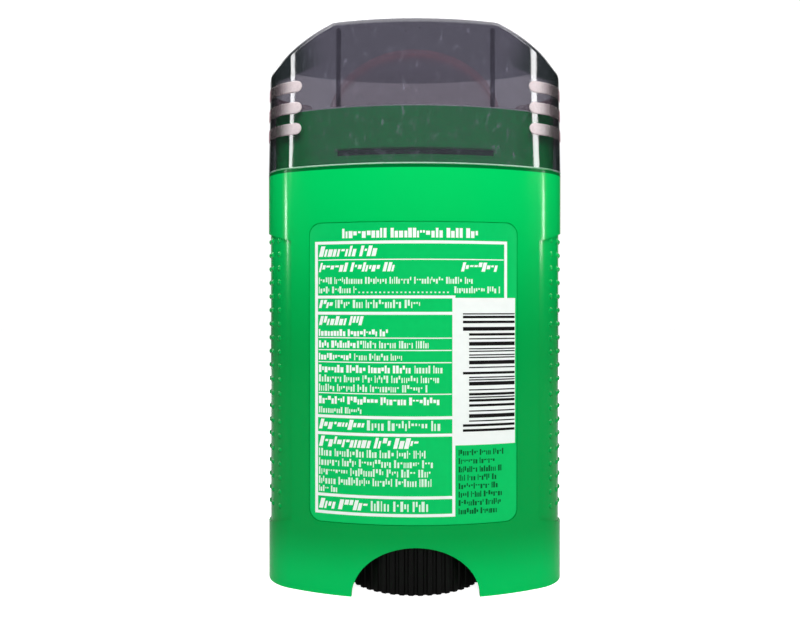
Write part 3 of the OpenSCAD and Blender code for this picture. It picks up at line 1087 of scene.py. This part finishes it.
@dataclass
class Cap:
    """The smoke-tinted cap: its shell, the ribs and the ridge inside it, and its frosted bars."""

    nodes: dict[str, bpy.types.Object]
    shell: CapShell
    bar_x: float = 24.5
    bar_h: float = 2.45
    bar_pitch: float = 4.52
    bar_z: float = 107.94
    bar_count: int = 3
    bar_steps: int = 48
    bar_proud: float = 0.15
    bar_sunk: float = 0.05
    least_half_squared: float = 0.02
    rib_x: float = 17.0
    rib_t: float = 0.62
    rib_depth: float = 1.1
    rib_gap: float = 0.2
    rim_z: float = 103.1
    ridge_z: Span = (92.6, 93.7)
    ridge_half: float = 16.9
    ridge_depth: float = 0.2
    ridge_steps: int = 12
    sunk: float = 0.02

    def turn_at(self, x: float) -> float:
        """Turn of the point of the near face at a distance to the side."""
        return math.acos(x / self.shell.section.face_r)

    def bars(self, material: bpy.types.Material) -> bpy.types.Object:
        """Wrap the frosted bars, which close to a half round, about both sides.

        Args:
            material: The frost finish.

        Returns:
            The new object.
        """
        bm = bmesh.new()
        round_r = self.bar_h / 2
        start = self.turn_at(self.bar_x)
        right = [start * math.cos(math.pi * i / self.bar_steps) for i in range(self.bar_steps + 1)]
        left = [math.copysign(math.pi - abs(turn), turn) for turn in right]
        halves = []
        for turn in right:
            short = max(0.0, round_r - (self.shell.section.spot(abs(turn), 0)[0] - self.bar_x))
            halves.append(math.sqrt(max(self.least_half_squared, round_r ** 2 - short ** 2)))
        for k in range(self.bar_count):
            mid = self.bar_z - k * self.bar_pitch
            for around in (right, left):
                self.shell.slab(bm, around, (-self.bar_proud, self.bar_sunk),
                                lambda i: (mid - halves[i], mid + halves[i]))
        return new_piece("cap_bars", bm, (material,), "cap")

    def inside(self, material: bpy.types.Material) -> bpy.types.Object:
        """Make the two stop ribs inside the near wall, and the snap ridges.

        Args:
            material: The smoke finish.

        Returns:
            The new object.
        """
        bm = bmesh.new()
        wall, steps = self.shell.wall, self.ridge_steps
        outer = wall - self.sunk
        high = self.shell.roof(self.rib_x + self.rib_t, wall) - self.rib_gap
        half_turn = math.pi / 2 - self.turn_at(self.ridge_half)
        for side in (1, -1):
            edges = [side * self.rib_x - self.rib_t / 2, side * self.rib_x + self.rib_t / 2]
            turns = [self.turn_at(x) for x in edges]
            self.shell.slab(bm, turns, (outer, wall + self.rib_depth), lambda i: (self.rim_z, high))
            around = [side * (math.pi / 2 + half_turn * (i / steps - 1)) for i in range(2 * steps + 1)]
            self.shell.slab(bm, around, (outer, wall + self.ridge_depth), lambda i: self.ridge_z)
        return new_piece("cap_ribs", bm, (material,), "cap")

    def build(self) -> list[bpy.types.Object]:
        """Make the cap's pieces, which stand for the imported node.

        Returns:
            The pieces.
        """
        smoke = SMOKE.make()
        dress(self.nodes["cap"], smoke)
        # The lip's finish is a painted highlight along the cap's bottom edge.
        shell = self.shell.build((smoke, INNER.make(), LIP_HIGHLIGHT.make()))
        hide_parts("cap")
        return [shell, self.bars(BAR.make()), self.inside(RIB.make())]


@dataclass
class Inside:
    """The seal, the stick, the screw feed and the dial."""

    nodes: dict[str, bpy.types.Object]

    def build(self) -> list[bpy.types.Object]:
        """Dress the pieces.

        Returns:
            The pieces.
        """
        natural = NATURAL.make()
        finishes = {
            "dial": (BLACK.make(), "dial_black"),
            "spindle": (natural, "natural_plastic"),
            "elevator": (natural, "natural_plastic"),
            "product": (STICK.make(), "stick_solid"),
            "seal": (ROSE.make(), "seal_clear"),
        }
        for name, (material, slot) in finishes.items():
            dress(self.nodes[name], material)
        return [self.nodes[name] for name in finishes]


@dataclass
class Lamp:
    """A soft rectangular lamp that looks at the middle line, for surfaces or for gloss alone."""

    name: str
    place: Triple
    target_z: float
    size: Span
    power: float
    gloss_only: bool = False
    roll: float = 0.0

    def build(self) -> None:
        """Make the lamp."""
        data = bpy.data.lights.new(self.name, "AREA")
        data.shape = "RECTANGLE"
        data.size, data.size_y = self.size
        data.energy = self.power
        lamp = placed(self.name, data)
        lamp.visible_diffuse = not self.gloss_only
        lamp.visible_glossy = self.gloss_only
        lamp.location = self.place
        direction = Vector((0, 0, self.target_z)) - Vector(self.place)
        roll = Quaternion((0, 0, 1), math.radians(self.roll))
        lamp.rotation_euler = (direction.to_track_quat("-Z", "Y") @ roll).to_euler()


@dataclass(frozen=True)
class Paper:
    """White studio paper: the share of light that it gives back, and the white that is seen directly and in gloss."""

    name: str
    tone: float
    direct: float
    mirrored: float

    def make(self) -> bpy.types.Material:
        """Build the material, whose white reaches only the camera, mirrors and clear plastic.

        Returns:
            The material.
        """
        s = Shader(self.name)
        camera, passed, gloss = (s.node("ShaderNodeLightPath", out=f"Is {ray} Ray")
                                 for ray in ("Camera", "Transmission", "Glossy"))
        shown = (camera.at_least(passed) * self.direct).at_least(gloss * self.mirrored)
        glow = s.node("ShaderNodeEmission", None, {"Color": (1.0, 1.0, 1.0), "Strength": shown})
        paper = s.node("ShaderNodeBsdfDiffuse", None, {"Color": (self.tone,) * 3})
        return s.finish(s.node("ShaderNodeAddShader", None, {0: paper, 1: glow}))


FLOOR = Paper("floor_white", tone=0.75, direct=0.9, mirrored=0.05)
BACKDROP = Paper("backdrop_white", tone=0.3, direct=1.0, mirrored=0.5)


@dataclass
class Studio:
    """White floor and backdrop, soft lamps, and the camera close to the back label."""

    camera_at: Triple = (-0.0033, -0.180, 0.0608)
    pitch_down: float = 0.43
    sensor: float = 36.0
    focal_px: float = 790.3
    frame_px: float = 800.0
    clip_start: float = 0.01
    floor_reach: float = 3.0
    backdrop_y: float = 2.0
    backdrop_w: float = 2.6
    lamps: tuple[Lamp, ...] = (
        Lamp("top_soft", (0.0, -0.4, 0.4), 0.06, (0.34, 0.26), 2.14),
        Lamp("front_fill", (0.1, -0.6, 0.1), 0.06, (0.5, 0.5), 0.44),
        Lamp("right_side", (0.5, -0.08, 0.14), 0.06, (0.3, 0.3), 0.35),
        Lamp("back_fill", (-0.1, 0.55, 0.25), 0.06, (0.5, 0.4), 2.0),
        Lamp("left_high", (-0.396, -0.229, 0.43), 0.43, (0.026, 0.55), 0.72, True, -8.0),
        Lamp("right_high", (0.393, -0.235, 0.43), 0.43, (0.024, 0.55), 0.68, True, 8.0),
        Lamp("left_low", (-0.44, -0.13, 0.13), 0.13, (0.022, 0.05), 0.6, True),
        Lamp("right_low", (0.436, -0.144, 0.13), 0.13, (0.022, 0.05), 0.6, True),
    )
    diffuse_world: float = 0.2
    mirrored_low: float = 0.02
    mirrored_high: float = 3.0
    mirrored_behind: float = 6.0
    overhead: Span = (0.55, 0.8)
    behind_up: Span = (0.3, 0.4)
    behind_back: Span = (0.0, 0.3)

    def ground(self) -> None:
        """Lay the floor and stand the backdrop behind it."""
        r, y, half = self.floor_reach, self.backdrop_y, self.backdrop_w / 2
        corners = {
            "floor": (FLOOR, [(-r, -r, 0), (r, -r, 0), (r, y, 0), (-r, y, 0)]),
            "backdrop": (BACKDROP, [(-half, y, 0), (half, y, 0), (half, y, half), (-half, y, half)]),
        }
        for name, (paper, points) in corners.items():
            mesh = bpy.data.meshes.new(name)
            mesh.from_pydata(points, [], [(0, 1, 2, 3)])
            mesh.materials.append(paper.make())
            plane = placed(name, mesh)

    def surround(self) -> None:
        """Set the world: white to the camera, dim and even to matt surfaces, and white overhead in gloss."""
        s = Shader("surround", world=True)
        up, back = (s.node("ShaderNodeSeparateXYZ", None, {0: s.node("ShaderNodeTexCoord")}, axis) for axis in "ZY")
        gloss, camera = (s.node("ShaderNodeLightPath", out=f"Is {ray} Ray") for ray in ("Glossy", "Camera"))
        behind = up.ramp(*self.behind_up) * back.ramp(*self.behind_back) * self.mirrored_behind
        high = up.ramp(*self.overhead, self.mirrored_low, self.mirrored_high).at_least(behind)
        shown = (gloss * high + (1 - gloss) * self.diffuse_world).at_least(camera)
        glow = s.node("ShaderNodeBackground", None, {"Color": (1.0, 1.0, 1.0), "Strength": shown})
        bpy.context.scene.world = s.finish(glow)

    def camera(self) -> None:
        """Stand the camera where the picture was taken."""
        data = bpy.data.cameras.new("camera")
        data.sensor_width = self.sensor
        data.lens = self.focal_px / self.frame_px * self.sensor
        data.clip_start = self.clip_start
        camera = placed("camera", data)
        camera.location = self.camera_at
        camera.rotation_euler = (math.radians(90 - self.pitch_down), 0, 0)
        bpy.context.scene.camera = camera

    def build(self) -> None:
        """Build the whole studio."""
        self.ground()
        self.surround()
        for lamp in self.lamps:
            lamp.build()
        self.camera()
        bpy.context.scene.view_settings.view_transform = "Standard"


def main() -> None:
    """Build everything in order and log the face count of each piece built or dressed."""
    logging.basicConfig(level=logging.INFO, format="%(name)s: %(message)s")
    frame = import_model()
    nodes = frame["nodes"]
    section = OvalSection()
    for assembly in (Barrel(nodes, section), Cap(nodes, CapShell(section)), Inside(nodes)):
        for piece in assembly.build():
            LOG.info("%s: %s, %d faces", type(assembly).__name__, piece.name, len(piece.data.polygons))
    Studio().build()


if __name__ == "__main__":
    main()
